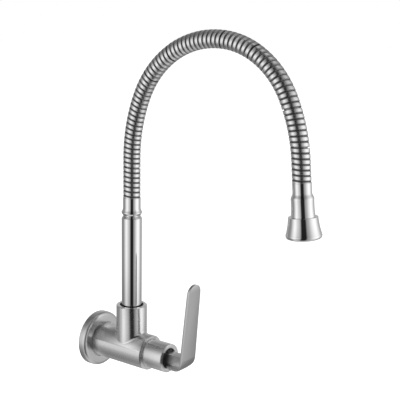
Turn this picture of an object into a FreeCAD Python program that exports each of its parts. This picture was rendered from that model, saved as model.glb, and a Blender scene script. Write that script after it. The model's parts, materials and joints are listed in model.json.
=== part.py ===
import FreeCAD, Part
import math
import os

from FreeCAD import Vector

# Wall-mounted sink tap with a flexible spout, millimetres.
# The wall is the plane y = 0, the barrel of the valve runs out along -Y on
# the line x = z = 0, and +Z is up. Barrel stations are distances from the wall.

# Wall flange and threaded inlet
FLANGE_D = 55.6
FLANGE_DEPTH = 8.8
FLANGE_WALL = 1.6
FLANGE_BEVEL = 2.2
THREAD_D = 20.955
THREAD_REACH = 15.0
STUB_SHOULDER_D = 21.4
INLET_BORE = 15.0
INLET_CHAMFER = 1.0

# Valve body: barrel, branch and the water way between them
BARREL_D = 34.6
BARREL_FRONT = 72.0
BARREL_CHAMFER = 0.8
BRANCH_STATION = 46.8
BRANCH_D = 30.6
BRANCH_TOP = 45.1
BRANCH_RIM = 0.7
WELD_FILLET = 3.0
SOCKET_BORE = 23.6
SOCKET_FLOOR = 20.0
RISER_BORE = 13.0
SEAT_STATION = 36.0
SEAT_WEB = 3.0
SEAT_PORT = 12.0
CHAMBER_D = 24.0
CHAMBER_LENGTH = 20.0
CARTRIDGE_BORE = 20.6
SPIGOT_D = 25.6
SPIGOT_LENGTH = 6.0

# Quarter-turn cartridge
FIT = 0.05
DISC_D = 16.4
DISC_THICKNESS = 3.0
SEAT_SEAL_THICKNESS = 3.0
NOSE_WALL = 1.4
PORT_ANGLE = 84
PORT_MARGIN = 2.0
PORT_HUB_D = 6.0
KEY_WIDTH = 3.0
KEY_DEPTH = 1.0
WINDOW_WIDTH = 8.0
WINDOW_LENGTH = 8.0
STEM_D = 9.8
DRIVE_THICKNESS = 3.0
WASHER_THICKNESS = 1.0
SHOULDER_D = 24.6
SHOULDER_THICKNESS = 3.6
NECK_D = 16.0
NECK_END = 83.4
SPLINE_D = 7.0
SPLINE_END = 103.0
SPLINE_TEETH = 16
SPLINE_DEPTH = 0.5
SPLINE_TOOTH = 0.7
ORING_SECTION = 1.5
CLIP_THICKNESS = 0.8
CLIP_D = 12.6
CLIP_OPENING = 3.2

# Bonnet collar
COLLAR_D = 28.4
COLLAR_END = 95.5
COLLAR_MOUTH = 19.8
COLLAR_LIP = 12.0
COLLAR_CHAMFER = 0.8

# Lever handle
HUB_D = 17.2
HUB_START = 85.2
WEB_THICKNESS = 9.7
WEB_TOP = 6.2
LEDGE_LEVEL = -4.1
FOOT_START = 96.4
FOOT_CHAMFER = 3.4
BLADE_THICKNESS = 2.6
BLADE_FRONT = 118.9
BLADE_LEAN = 5.3
BLADE_BASE_WIDTH = 21.5
BLADE_TIP_WIDTH = 17.8
BLADE_TOP = 81.0
HEEL_RADIUS = 18.0
POCKET_START = 88.0
GRUB_D = 4.0
GRUB_STATION = 101.0
GRUB_SINK = 0.6
GRUB_KEY = 2.0
GRUB_KEY_DEPTH = 1.5

# Spout tube and its swivel in the branch socket
TUBE_D = 20.0
TUBE_WALL = 1.0
TUBE_TOP = 136.0
TUBE_NECK_D = 16.6
TUBE_NECK_LENGTH = 2.4
SWIVEL_CLEARANCE = 0.1
SWIVEL_TOP = 37.0
SLIP_RING = 1.0
NIPPLE_SPIGOT = 12.0
NIPPLE_BORE = 14.0
SWIVEL_ORING = 2.0
LOCK_SCREW_D = 5.0
LOCK_SCREW_POINT = 3.0
LOCK_SCREW_HEIGHT = 33.8
LOCK_GROOVE_DEPTH = 1.4
LOCK_SCREW_SINK = 0.4
LOCK_KEY = 2.5
LOCK_KEY_DEPTH = 2.0

# Flexible hose: straight up, over in four bends and down to the nozzle
FERRULE_TOP = 154.0
FERRULE_LIP = 0.35
FERRULE_BEAD = 1.45
FIRST_RUN = 38.8
RISING_RADIUS = 153.7
RISING_TURN = 23.6
CROWN_RADIUS = 96.2
CROWN_TURN = 70.9
FALLING_RADIUS = 82.1
FALLING_TURN = 59.3
HANGING_RADIUS = 149.3
HANGING_TURN = 21.1
LAST_RUN = 18.0
HOSE_D = 16.8
GROOVE_D = 15.2
RIB_ROUND = 0.4
HOSE_BORE = 12.0
RIB_PITCH = 4.55
SPANS = 12
SPAN_SWING = 7.5
RUNNING_GAP = 0.3
TONGUE_REACH = 2.5
POCKET_WALL = 0.65
WATER_TUBE_D = 10.4
WATER_TUBE_BORE = 8.0
TAIL_BORE = 5.6
TAIL_REACH = 18.0
TAIL_PLUG_END = 3.0
TAIL_BARBS = 4
BARB_HEIGHT = 0.5
TUBE_END = 2.5

# Nozzle: neck, bell and aerator
NECK_TOP_WALL = 1.15
NECK_SLEEVE = 9.5
NECK_FLARE = 4.2
NECK_MID_D = 20.4
NECK_END_D = 21.4
NECK_LENGTH = 29.9
NECK_WALL = 1.6
BELL_TOP_D = 26.2
BELL_WAIST_D = 27.8
BELL_MOUTH_D = 32.0
BELL_LENGTH = 19.4
BELL_EDGE = 3.0
BELL_COUNTERBORE = 24.4
THREAD_HOLD = 7.0
SEAL_THICKNESS = 1.6
AERATOR_LENGTH = 8.6
AERATOR_WALL = 1.3
GRID_BARS = 5
GRID_BAR = 0.9
GRID_THICKNESS = 1.5
DIFFUSER_THICKNESS = 2.5
JETS = 8
JET_D = 1.6
SCREEN_THICKNESS = 0.4
SCREEN_PITCH = 0.8

X_AXIS = Vector(1, 0, 0)
Y_AXIS = Vector(0, 1, 0)
Z_AXIS = Vector(0, 0, 1)
ORIGIN = Vector(0, 0, 0)


def place(shape, point, turn):
    """Turn a shape about X, from +Z towards -Y, then move it to a point."""
    placed = shape.copy()
    placed.rotate(ORIGIN, X_AXIS, turn)
    placed.translate(point)
    return placed


def on_barrel(shape):
    """Lay a shape made about +Z along the barrel, z becoming the station."""
    return place(shape, ORIGIN, 90)


def on_branch(shape):
    """Stand a shape made about +Z on the branch axis."""
    return place(shape, Vector(0, -BRANCH_STATION, 0), 0)


def spin(outline):
    """Revolve a closed outline of (radius, height) about Z.

    An entry that holds two pairs is an arc through the first to the second.
    """
    edges = []
    start = Vector(outline[0][0], 0, outline[0][1])
    here = start
    for entry in list(outline[1:]) + [outline[0]]:
        if isinstance(entry[0], tuple):
            middle = Vector(entry[0][0], 0, entry[0][1])
            there = Vector(entry[1][0], 0, entry[1][1])
            edges.append(Part.Arc(here, middle, there).toShape())
        else:
            there = Vector(entry[0], 0, entry[1])
            edges.append(Part.LineSegment(here, there).toShape())
        here = there
    face = Part.Face(Part.Wire(edges))
    return face.revolve(ORIGIN, Z_AXIS, 360)


def rod(diameter, low, high):
    """Cylinder about Z between two heights."""
    return Part.makeCylinder(diameter / 2, high - low, Vector(0, 0, low))


def ring(outer, inner, low, high):
    """Plain ring about Z between two heights."""
    return rod(outer, low, high).cut(rod(inner, low - 1, high + 1))


def oring(groove_root, section, height):
    """O-ring lying in a groove, its round section cut with eight sides."""
    half = section / 2
    side = half * math.tan(math.radians(22.5))
    middle = groove_root / 2 + half
    return spin([
        (middle - half, height - side), (middle - side, height - half),
        (middle + side, height - half), (middle + half, height - side),
        (middle + half, height + side), (middle + side, height + half),
        (middle - side, height + half), (middle - half, height + side)])


def groove(outer, root, middle, width):
    """Cutter for a groove round a shaft."""
    return ring(outer + 1, root, middle - width / 2, middle + width / 2)


def hexagon(across_flats, low, high):
    """Hexagonal prism about Z."""
    corner = across_flats / math.sqrt(3)
    corners = []
    for step in range(7):
        angle = math.radians(60 * step)
        corners.append(Vector(corner * math.cos(angle), corner * math.sin(angle), low))
    return Part.Face(Part.makePolygon(corners)).extrude(Vector(0, 0, high - low))


def box(x_low, x_high, y_low, y_high, z_low, z_high):
    """Box between two corners."""
    corner = Vector(x_low, y_low, z_low)
    return Part.makeBox(x_high - x_low, y_high - y_low, z_high - z_low, corner)


# Stations and heights that several pieces share
CHAMBER_END = SEAT_STATION + CHAMBER_LENGTH
SPIGOT_END = BARREL_FRONT + SPIGOT_LENGTH
FIXED_DISC_STATION = SEAT_STATION + SEAT_SEAL_THICKNESS
MOVING_DISC_STATION = FIXED_DISC_STATION + DISC_THICKNESS + FIT
DRIVE_STATION = MOVING_DISC_STATION + DISC_THICKNESS
WASHER_STATION = DRIVE_STATION + DRIVE_THICKNESS
DISC_CHAMBER_END = WASHER_STATION + WASHER_THICKNESS + FIT
SHOULDER_END = SPIGOT_END + SHOULDER_THICKNESS
STEM_BORE = STEM_D + 4 * FIT
STEM_GROOVE_D = STEM_BORE - 2 * ORING_SECTION + 2 * FIT
SWIVEL_D = SOCKET_BORE - 2 * SWIVEL_CLEARANCE
SWIVEL_BASE = SOCKET_FLOOR + SLIP_RING + 2 * FIT
SWIVEL_GROOVE_D = SWIVEL_D - 2 * SWIVEL_ORING + 2 * FIT
TUBE_BORE = TUBE_D - 2 * TUBE_WALL
TUBE_NECK_BORE = TUBE_NECK_D - 2 * TUBE_WALL
FERRULE_D = TUBE_NECK_D + 2 * FERRULE_LIP
NECK_TOP_D = TUBE_NECK_BORE + 2 * NECK_TOP_WALL


def wall_flange():
    """Pressed cover plate: a shallow cup, open to the wall."""
    radius = FLANGE_D / 2
    inner = radius - FLANGE_WALL
    hole = STUB_SHOULDER_D / 2 + FIT
    step = FLANGE_DEPTH - 1.5 * FLANGE_BEVEL
    face = FLANGE_DEPTH - FLANGE_WALL
    arc_share = math.sqrt(0.5)
    bevel_middle = (radius - FLANGE_BEVEL * (1 - arc_share),
                    step + 1.5 * FLANGE_BEVEL * arc_share)
    return on_barrel(spin([
        (radius, 0), (radius, step),
        (bevel_middle, (radius - FLANGE_BEVEL, FLANGE_DEPTH)),
        (hole, FLANGE_DEPTH), (hole, face),
        (inner - FLANGE_BEVEL, face), (inner, step), (inner, 0)]))


def valve_body():
    """Barrel with its threaded inlet, front spigot and welded branch."""
    barrel_r = BARREL_D / 2
    thread_r = THREAD_D / 2
    barrel = on_barrel(spin([
        (0, -THREAD_REACH), (thread_r - INLET_CHAMFER, -THREAD_REACH),
        (thread_r, INLET_CHAMFER - THREAD_REACH), (thread_r, 0),
        (STUB_SHOULDER_D / 2, 0), (STUB_SHOULDER_D / 2, FLANGE_DEPTH),
        (barrel_r - BARREL_CHAMFER, FLANGE_DEPTH), (barrel_r, FLANGE_DEPTH + BARREL_CHAMFER),
        (barrel_r, BARREL_FRONT - BARREL_CHAMFER), (barrel_r - BARREL_CHAMFER, BARREL_FRONT),
        (SPIGOT_D / 2, BARREL_FRONT), (SPIGOT_D / 2, SPIGOT_END), (0, SPIGOT_END)]))
    branch = on_branch(spin([
        (0, 0), (BRANCH_D / 2, 0), (BRANCH_D / 2, BRANCH_TOP - BRANCH_RIM),
        (BRANCH_D / 2 - BRANCH_RIM, BRANCH_TOP), (0, BRANCH_TOP)]))
    body = weld(barrel.fuse(branch))
    body = body.cut(on_barrel(water_way()))
    body = body.cut(on_branch(rod(RISER_BORE, 0, SOCKET_FLOOR)))
    body = body.cut(on_branch(rod(SOCKET_BORE, SOCKET_FLOOR, BRANCH_TOP + 1)))
    return body.cut(lock_screw_line(LOCK_SCREW_D + 2 * FIT, 0, BRANCH_D / 2 + 1))


def weld(body):
    """Round the seam between barrel and branch."""
    seam = []
    for edge in body.Edges:
        middle = edge.valueAt((edge.FirstParameter + edge.LastParameter) / 2)
        from_barrel = math.hypot(middle.x, middle.z) - BARREL_D / 2
        from_branch = math.hypot(middle.x, middle.y + BRANCH_STATION) - BRANCH_D / 2
        if abs(from_barrel) < 0.01 and abs(from_branch) < 0.01 and middle.z > 0:
            seam.append(edge)
    return body.makeFillet(WELD_FILLET, seam)


def water_way():
    """Bores of the barrel: inlet, seat port, chamber and cartridge bore."""
    return (rod(INLET_BORE, -THREAD_REACH - 1, SEAT_STATION - SEAT_WEB)
            .fuse(rod(SEAT_PORT, SEAT_STATION - SEAT_WEB - 1, SEAT_STATION))
            .fuse(rod(CHAMBER_D, SEAT_STATION, CHAMBER_END))
            .fuse(rod(CARTRIDGE_BORE, CHAMBER_END - 1, SPIGOT_END + 1)))


def lock_screw_line(diameter, from_axis, to_axis):
    """Cylinder through the rear of the branch, on the lock screw's line."""
    line = Part.makeCylinder(diameter / 2, to_axis - from_axis, Vector(0, from_axis, 0), Y_AXIS)
    line.translate(Vector(0, -BRANCH_STATION, LOCK_SCREW_HEIGHT))
    return line


def cartridge_housing():
    """Brass housing: windowed nose, threaded middle, shoulder and neck."""
    nose_d = DISC_D + 4 * FIT + 2 * NOSE_WALL
    thread_d = CARTRIDGE_BORE - 2 * FIT
    nose_start = SEAT_STATION + SEAT_SEAL_THICKNESS / 2
    housing = (rod(nose_d, nose_start, CHAMBER_END)
               .fuse(rod(thread_d, CHAMBER_END, SPIGOT_END))
               .fuse(hexagon(SHOULDER_D * math.sqrt(3) / 2, SPIGOT_END, SHOULDER_END))
               .fuse(rod(NECK_D, SHOULDER_END, NECK_END)))
    housing = housing.cut(rod(DISC_D + 4 * FIT, nose_start - 1, DISC_CHAMBER_END))
    housing = housing.cut(rod(STEM_BORE, DISC_CHAMBER_END - 1, NECK_END + 1))
    housing = housing.cut(groove(thread_d, housing_groove_d(), housing_oring_station(), 2 * ORING_SECTION))
    window_end = MOVING_DISC_STATION + WINDOW_LENGTH
    window = box(-nose_d, nose_d, -WINDOW_WIDTH / 2, WINDOW_WIDTH / 2, MOVING_DISC_STATION, window_end)
    return on_barrel(housing.cut(window))


def housing_groove_d():
    """Root diameter of the housing's O-ring groove."""
    return CARTRIDGE_BORE - 2 * ORING_SECTION - 2 * FIT


def housing_oring_station():
    """Middle of the housing's O-ring, just inside the cartridge bore."""
    return CHAMBER_END + 2 * ORING_SECTION


def port_sectors(low, high):
    """Cutter for the two quarter-circle ports of a ceramic disc."""
    reach = DISC_D / 2 - PORT_MARGIN
    ports = []
    for start in (0, 180):
        wedge = Part.makeCylinder(reach, high - low, Vector(0, 0, low), Z_AXIS, PORT_ANGLE)
        wedge.rotate(ORIGIN, Z_AXIS, start + (90 - PORT_ANGLE) / 2)
        ports.append(wedge.cut(rod(PORT_HUB_D, low - 1, high + 1)))
    return ports[0].fuse(ports[1])


def fixed_disc():
    """Lower ceramic disc, keyed to the housing."""
    low = FIXED_DISC_STATION
    high = low + DISC_THICKNESS
    return on_barrel(rod(DISC_D, low, high).cut(port_sectors(low - 1, high + 1)))


def moving_disc():
    """Upper ceramic disc, turned a quarter by the spindle."""
    low = MOVING_DISC_STATION
    high = low + DISC_THICKNESS
    ports = port_sectors(low - 1, high + 1)
    ports.rotate(ORIGIN, Z_AXIS, 90)
    slot = box(-DISC_D, DISC_D, -KEY_WIDTH / 2, KEY_WIDTH / 2, high - KEY_DEPTH, high + 1)
    return on_barrel(rod(DISC_D - 2 * FIT, low, high).cut(ports).cut(slot))


def cartridge_spindle():
    """Brass spindle: drive disc with its key, stem and splined end."""
    drive = rod(DISC_D - 2 * FIT, DRIVE_STATION, WASHER_STATION)
    key_reach = DISC_D / 2 - PORT_MARGIN / 2
    key_half = KEY_WIDTH / 2 - FIT
    key = box(-key_reach, key_reach, -key_half, key_half,
              DRIVE_STATION - KEY_DEPTH + FIT, DRIVE_STATION + 1)
    stem_end = NECK_END + CLIP_THICKNESS + 4 * FIT
    spindle = drive.fuse(key).fuse(rod(STEM_D, WASHER_STATION - 1, stem_end))
    spindle = spindle.fuse(spline(SPLINE_D, stem_end - 1, SPLINE_END))
    for station in stem_oring_stations():
        spindle = spindle.cut(groove(STEM_D, STEM_GROOVE_D, station, 1.3 * ORING_SECTION))
    return on_barrel(spindle.cut(groove(STEM_D, SPLINE_D, clip_middle(), CLIP_THICKNESS + 2 * FIT)))


def spline(diameter, low, high):
    """Splined shaft end with square-cut teeth."""
    shaft = rod(diameter - 2 * SPLINE_DEPTH, low, high)
    for tooth in range(SPLINE_TEETH):
        bar = box(0, diameter / 2 - FIT, -SPLINE_TOOTH / 2, SPLINE_TOOTH / 2, low, high)
        bar.rotate(ORIGIN, Z_AXIS, 360 / SPLINE_TEETH * tooth)
        shaft = shaft.fuse(bar)
    return shaft.removeSplitter()


def stem_oring_stations():
    """The two O-rings on the stem, inside the threaded part."""
    first = DISC_CHAMBER_END + 3 * ORING_SECTION
    return (first, first + 3 * ORING_SECTION)


def clip_middle():
    """Station of the circlip that holds the spindle in."""
    return NECK_END + FIT * 2 + CLIP_THICKNESS / 2


def spindle_orings():
    """Both stem O-rings."""
    rings = [oring(STEM_GROOVE_D, ORING_SECTION - 2 * FIT, station) for station in stem_oring_stations()]
    return on_barrel(Part.makeCompound(rings))


def spindle_clip():
    """Open circlip in the groove of the stem."""
    low = clip_middle() - CLIP_THICKNESS / 2
    high = low + CLIP_THICKNESS
    clip = ring(CLIP_D, SPLINE_D + 2 * FIT, low, high)
    opening = box(-CLIP_OPENING / 2, CLIP_OPENING / 2, 0, CLIP_D, low - 1, high + 1)
    return on_barrel(clip.cut(opening))


def thrust_washer():
    """Plastic washer that the drive disc turns against."""
    low = WASHER_STATION
    return on_barrel(ring(DISC_D - 2 * FIT, STEM_D + 4 * FIT, low, low + WASHER_THICKNESS))


def seat_seal():
    """Rubber seal between the body's seat and the fixed disc."""
    return on_barrel(ring(DISC_D - 2 * FIT, SEAT_PORT, SEAT_STATION, FIXED_DISC_STATION))


def housing_oring():
    """O-ring that seals the housing in the body."""
    return on_barrel(oring(housing_groove_d() + FIT, ORING_SECTION, housing_oring_station()))


def bonnet_collar():
    """Turned collar screwed on the spigot, hiding the cartridge."""
    radius = COLLAR_D / 2
    mouth = COLLAR_MOUTH / 2
    thread = SPIGOT_D / 2 + FIT
    lip = COLLAR_END - COLLAR_LIP
    return on_barrel(spin([
        (thread, BARREL_FRONT), (radius, BARREL_FRONT),
        (radius, COLLAR_END - COLLAR_CHAMFER), (radius - COLLAR_CHAMFER, COLLAR_END),
        (mouth + COLLAR_CHAMFER, COLLAR_END), (mouth, COLLAR_END - COLLAR_CHAMFER),
        (mouth, lip), (thread, lip)]))


def blade_outline():
    """Front view of the blade: round heel, tapered sides and round tip."""
    heel = BLADE_BASE_WIDTH / 2
    tip = BLADE_TIP_WIDTH / 2
    centre = BLADE_TOP - tip
    left_heel = Vector(-heel, 0, 0)
    right_heel = Vector(heel, 0, 0)
    left_tip = Vector(-tip, 0, centre)
    right_tip = Vector(tip, 0, centre)
    edges = [Part.Arc(left_heel, Vector(0, 0, -heel), right_heel).toShape(),
             Part.LineSegment(right_heel, right_tip).toShape(),
             Part.Arc(right_tip, Vector(0, 0, BLADE_TOP), left_tip).toShape(),
             Part.LineSegment(left_tip, left_heel).toShape()]
    return Part.Face(Part.Wire(edges))


def lever_side():
    """Side view of the lever: hub, web, leaning blade and the heel tangent to it."""
    lean = math.radians(BLADE_LEAN)
    depth = BLADE_THICKNESS / math.cos(lean)
    hub_r = HUB_D / 2
    sole = -BLADE_BASE_WIDTH / 2
    tip = BLADE_TOP + 1

    def front(height):
        return Vector(0, -(BLADE_FRONT + height * math.tan(lean)), height)

    def back(height):
        return front(height) + Vector(0, depth, 0)

    heel_top = front(sole + HEEL_RADIUS * (1 - math.sin(lean)))
    heel_centre = heel_top + Vector(0, HEEL_RADIUS * math.cos(lean), HEEL_RADIUS * math.sin(lean))
    heel_foot = heel_centre + Vector(0, 0, -HEEL_RADIUS)
    arc_share = math.sqrt(0.5)
    heel_middle = heel_centre + Vector(0, -arc_share, -arc_share) * HEEL_RADIUS
    corners = [heel_top, front(tip), back(tip), back(WEB_TOP),
               Vector(0, -POCKET_START, WEB_TOP), Vector(0, -POCKET_START, hub_r),
               Vector(0, -HUB_START, hub_r), Vector(0, -HUB_START, sole), heel_foot]
    edges = [Part.LineSegment(low, high).toShape() for low, high in zip(corners[:-1], corners[1:])]
    edges.append(Part.Arc(heel_foot, heel_middle, heel_top).toShape())
    return Part.Face(Part.Wire(edges))


def blade_room(wide):
    """Everything in front of the blade's leaning back face."""
    back = BLADE_FRONT - BLADE_THICKNESS / math.cos(math.radians(BLADE_LEAN))
    room = box(-wide, wide, -back - 2 * wide, -back, -2 * wide, BLADE_TOP + wide)
    room.rotate(Vector(0, -back, 0), X_AXIS, BLADE_LEAN)
    return room


def lever_handle():
    """Lever: hub on the spindle, flat web on a round foot, and the blade."""
    wide = BLADE_BASE_WIDTH
    far = BLADE_FRONT + BLADE_TOP
    side = lever_side().extrude(Vector(2 * wide, 0, 0))
    side.translate(Vector(-wide, 0, 0))
    blade = blade_outline().extrude(Vector(0, -far, 0)).common(blade_room(wide))
    hub = on_barrel(rod(HUB_D, HUB_START, POCKET_START)).fuse(lever_web()).fuse(lever_foot(wide))
    lever = side.common(blade.fuse(hub))
    lever = lever.cut(on_barrel(rod(SPLINE_D + 2 * FIT, HUB_START - 1, SPLINE_END + 2)))
    lever = lever.cut(on_barrel(rod(CLIP_D + 2, HUB_START - 1, HUB_START + 1)))
    return lever.cut(grub_line(GRUB_D + 2 * FIT, wide)).removeSplitter()


def lever_web():
    """Flat web from the hub to the blade, round underneath."""
    half = WEB_THICKNESS / 2
    web = box(-half, half, -BLADE_FRONT, -POCKET_START, -HUB_D, WEB_TOP)
    return web.common(on_barrel(rod(HUB_D, POCKET_START - 1, BLADE_FRONT + 1)))


def lever_foot(wide):
    """Lower part of a round boss, chamfered where it faces the collar."""
    radius = BLADE_BASE_WIDTH / 2
    boss = on_barrel(spin([
        (0, FOOT_START), (radius - FOOT_CHAMFER, FOOT_START), (radius, FOOT_START + FOOT_CHAMFER),
        (radius, BLADE_FRONT), (0, BLADE_FRONT)]))
    return boss.common(box(-wide, wide, -BLADE_FRONT, -FOOT_START, -wide, LEDGE_LEVEL))


def grub_line(diameter, reach):
    """Cylinder from the spindle axis down through the hub."""
    return Part.makeCylinder(diameter / 2, reach, Vector(0, -GRUB_STATION, 0), Vector(0, 0, -1))


def handle_grub_screw():
    """Grub screw that pins the lever to the spindle from below."""
    tip = SPLINE_D / 2 + FIT
    head = BLADE_BASE_WIDTH / 2 - GRUB_SINK
    key = hexagon(GRUB_KEY, -head - 1, GRUB_KEY_DEPTH - head)
    screw = rod(GRUB_D, -head, -tip).cut(key)
    screw.translate(Vector(0, -GRUB_STATION, 0))
    return screw


def swivel_nipple():
    """Turned nipple that carries the spout and turns in the socket."""
    nipple = rod(SWIVEL_D, SWIVEL_BASE, SWIVEL_TOP)
    nipple = nipple.fuse(rod(TUBE_BORE - 2 * FIT, SWIVEL_TOP, SWIVEL_TOP + NIPPLE_SPIGOT))
    nipple = nipple.cut(rod(NIPPLE_BORE, SWIVEL_BASE - 1, SWIVEL_TOP + NIPPLE_SPIGOT + 1))
    for height in swivel_oring_heights():
        nipple = nipple.cut(groove(SWIVEL_D, SWIVEL_GROOVE_D, height, 1.3 * SWIVEL_ORING))
    lock_root = SWIVEL_D - 2 * LOCK_GROOVE_DEPTH
    lock_width = LOCK_SCREW_POINT + 2 * RUNNING_GAP
    return on_branch(nipple.cut(groove(SWIVEL_D, lock_root, LOCK_SCREW_HEIGHT, lock_width)))


def swivel_oring_heights():
    """The two O-rings of the nipple, below the lock groove."""
    first = SWIVEL_BASE + 1.3 * SWIVEL_ORING
    return (first, first + 2.2 * SWIVEL_ORING)


def swivel_orings():
    """Both O-rings of the nipple."""
    rings = [oring(SWIVEL_GROOVE_D, SWIVEL_ORING, height) for height in swivel_oring_heights()]
    return on_branch(Part.makeCompound(rings))


def slip_ring():
    """Plastic ring that the nipple turns on."""
    low = SOCKET_FLOOR + FIT
    return on_branch(ring(SWIVEL_D, NIPPLE_BORE, low, low + SLIP_RING))


def spout_lock_screw():
    """Dog-point screw behind the branch that keeps the spout in."""
    outer = BRANCH_D / 2 - LOCK_SCREW_SINK
    shoulder = SOCKET_BORE / 2 + FIT
    point = SWIVEL_D / 2 - LOCK_GROOVE_DEPTH + RUNNING_GAP
    screw = lock_screw_line(LOCK_SCREW_D, shoulder, outer)
    screw = screw.fuse(lock_screw_line(LOCK_SCREW_POINT, point, shoulder + 1))
    key = hexagon(LOCK_KEY, 0, LOCK_KEY_DEPTH + 1)
    key.rotate(ORIGIN, X_AXIS, -90)
    key.translate(Vector(0, outer - LOCK_KEY_DEPTH - BRANCH_STATION, LOCK_SCREW_HEIGHT))
    return screw.cut(key)


def spout_tube():
    """Rigid riser, its top end spun in to a narrow neck."""
    radius = TUBE_D / 2
    bore = TUBE_BORE / 2
    shoulder = TUBE_TOP - TUBE_NECK_LENGTH
    return on_branch(spin([
        (bore, SWIVEL_TOP), (radius, SWIVEL_TOP), (radius, shoulder),
        (TUBE_NECK_D / 2, TUBE_TOP), (TUBE_NECK_BORE / 2, TUBE_TOP), (bore, shoulder)]))


def lower_ferrule():
    """Ferrule between riser and hose, with a bead at its foot."""
    height = FERRULE_TOP - TUBE_TOP
    bead = TUBE_TOP + 0.19 * height
    sleeve = TUBE_TOP + 0.42 * height
    radius = FERRULE_D / 2
    bead_r = radius + FERRULE_BEAD
    bore = TUBE_NECK_BORE / 2
    return on_branch(spin([
        (bore, TUBE_TOP), (TUBE_NECK_D / 2, TUBE_TOP), (bead_r - 0.3, bead - 0.9),
        ((bead_r, bead), (bead_r - 0.25, bead + 0.8)),
        (((bead_r + radius) / 2 - 0.3, (bead + sleeve) / 2 + 0.4), (radius, sleeve)),
        (radius, FERRULE_TOP), (bore, FERRULE_TOP)]))


def hose_tail():
    """Barbed tail about +Z: plug below the hose's end, barbs inside it."""
    plug = TUBE_NECK_BORE / 2 - FIT
    foot = TUBE_TOP - TUBE_NECK_LENGTH - FERRULE_TOP
    barb = WATER_TUBE_BORE / 2 - FIT
    valley = barb - BARB_HEIGHT
    pitch = TAIL_REACH / TAIL_BARBS
    tail = [(TAIL_BORE / 2, foot), (plug, foot), (plug, -TAIL_PLUG_END), (valley, -TAIL_PLUG_END)]
    for count in range(TAIL_BARBS):
        base = count * pitch - TAIL_PLUG_END
        tail.append((valley, base + 0.5 * pitch))
        tail.append((barb, base + 0.5 * pitch))
        tail.append((valley, base + pitch))
    tail.append((TAIL_BORE / 2, TAIL_REACH - TAIL_PLUG_END))
    return spin(tail)


def lower_hose_tail():
    """Tail that joins the riser to the inner tube of the hose."""
    return place(hose_tail(), route(0)[0], 0)


def upper_hose_tail():
    """The same tail turned round in the nozzle's neck."""
    tail = hose_tail()
    tail.rotate(ORIGIN, X_AXIS, 180)
    return at_nozzle(tail)


def hose_runs():
    """Length, bend radius and turn of each run; a straight has radius 0."""
    bends = ((RISING_RADIUS, RISING_TURN), (CROWN_RADIUS, CROWN_TURN),
             (FALLING_RADIUS, FALLING_TURN), (HANGING_RADIUS, HANGING_TURN))
    runs = [(FIRST_RUN, 0, 0)]
    for radius, turn in bends:
        runs.append((radius * math.radians(turn), radius, turn))
    runs.append((LAST_RUN, 0, 0))
    return runs


def route(distance):
    """Point and turn of the hose's centreline at a distance from its foot.

    The turn is measured from straight up, over towards -Y. The route goes on
    straight before its foot and past its end.
    """
    point = Vector(0, -BRANCH_STATION, FERRULE_TOP)
    turn = 0.0
    left = distance
    for number, (length, radius, bend) in enumerate(hose_runs()):
        last = number == len(hose_runs()) - 1
        part = left if last else min(left, length)
        if radius:
            swept = bend * part / length
            start = math.radians(turn)
            end = math.radians(turn + swept)
            point = point + Vector(0, radius * (math.cos(end) - math.cos(start)),
                                   radius * (math.sin(end) - math.sin(start)))
            turn += swept
        else:
            angle = math.radians(turn)
            point = point + Vector(0, -part * math.sin(angle), part * math.cos(angle))
        left -= part
        if left <= 0:
            break
    return point, turn


HOSE_LENGTH = sum(run[0] for run in hose_runs())
SPAN_LENGTH = HOSE_LENGTH / SPANS
RIBS_PER_SPAN = max(2, round(SPAN_LENGTH / RIB_PITCH))
TRUE_PITCH = SPAN_LENGTH / RIBS_PER_SPAN
GAP_SHARE = math.sin(math.radians(SPAN_SWING))
SPAN_GAP = GROOVE_D / 2 * GAP_SHARE + RUNNING_GAP
TUBE_GAP = WATER_TUBE_D / 2 * GAP_SHARE + RUNNING_GAP


def route_wire(start, end):
    """Centreline between two distances, as straights joined by arcs."""
    stops = [start]
    reached = 0.0
    for length, radius, bend in hose_runs()[:-1]:
        reached += length
        if start + 0.01 < reached < end - 0.01:
            stops.append(reached)
    stops.append(end)
    edges = []
    for low, high in zip(stops[:-1], stops[1:]):
        here, here_turn = route(low)
        there, there_turn = route(high)
        middle = route((low + high) / 2)[0]
        if abs(there_turn - here_turn) < 0.01:
            edges.append(Part.LineSegment(here, there).toShape())
        else:
            edges.append(Part.Arc(here, middle, there).toShape())
    return Part.Wire(edges)


def route_circle(distance, diameter):
    """Circle round the centreline, always starting on the +X side."""
    point, turn = route(distance)
    return Part.Wire([place(Part.makeCircle(diameter / 2), point, turn)])


def route_pipe(start, end, diameter):
    """Round bar along the centreline."""
    return route_wire(start, end).makePipeShell([route_circle(start, diameter)], True, False)


def ribs(start, end, count):
    """Ribbed bar: ruled bands through four circles for each rib."""
    shoulder_d = HOSE_D - RIB_ROUND
    pitch = (end - start) / count
    first = start + (SPAN_GAP / 2 if start > 0 else 0)
    final = end - (SPAN_GAP / 2 if end < HOSE_LENGTH - 0.01 else 0)
    circles = [route_circle(first, GROOVE_D)]
    for rib in range(count):
        foot = start + rib * pitch
        if rib:
            circles.append(route_circle(foot, GROOVE_D))
        circles.append(route_circle(foot + 0.2 * pitch, shoulder_d))
        circles.append(route_circle(foot + 0.5 * pitch, HOSE_D))
        circles.append(route_circle(foot + 0.8 * pitch, shoulder_d))
    circles.append(route_circle(final, GROOVE_D))
    return Part.makeLoft(circles, True, True)


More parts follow.
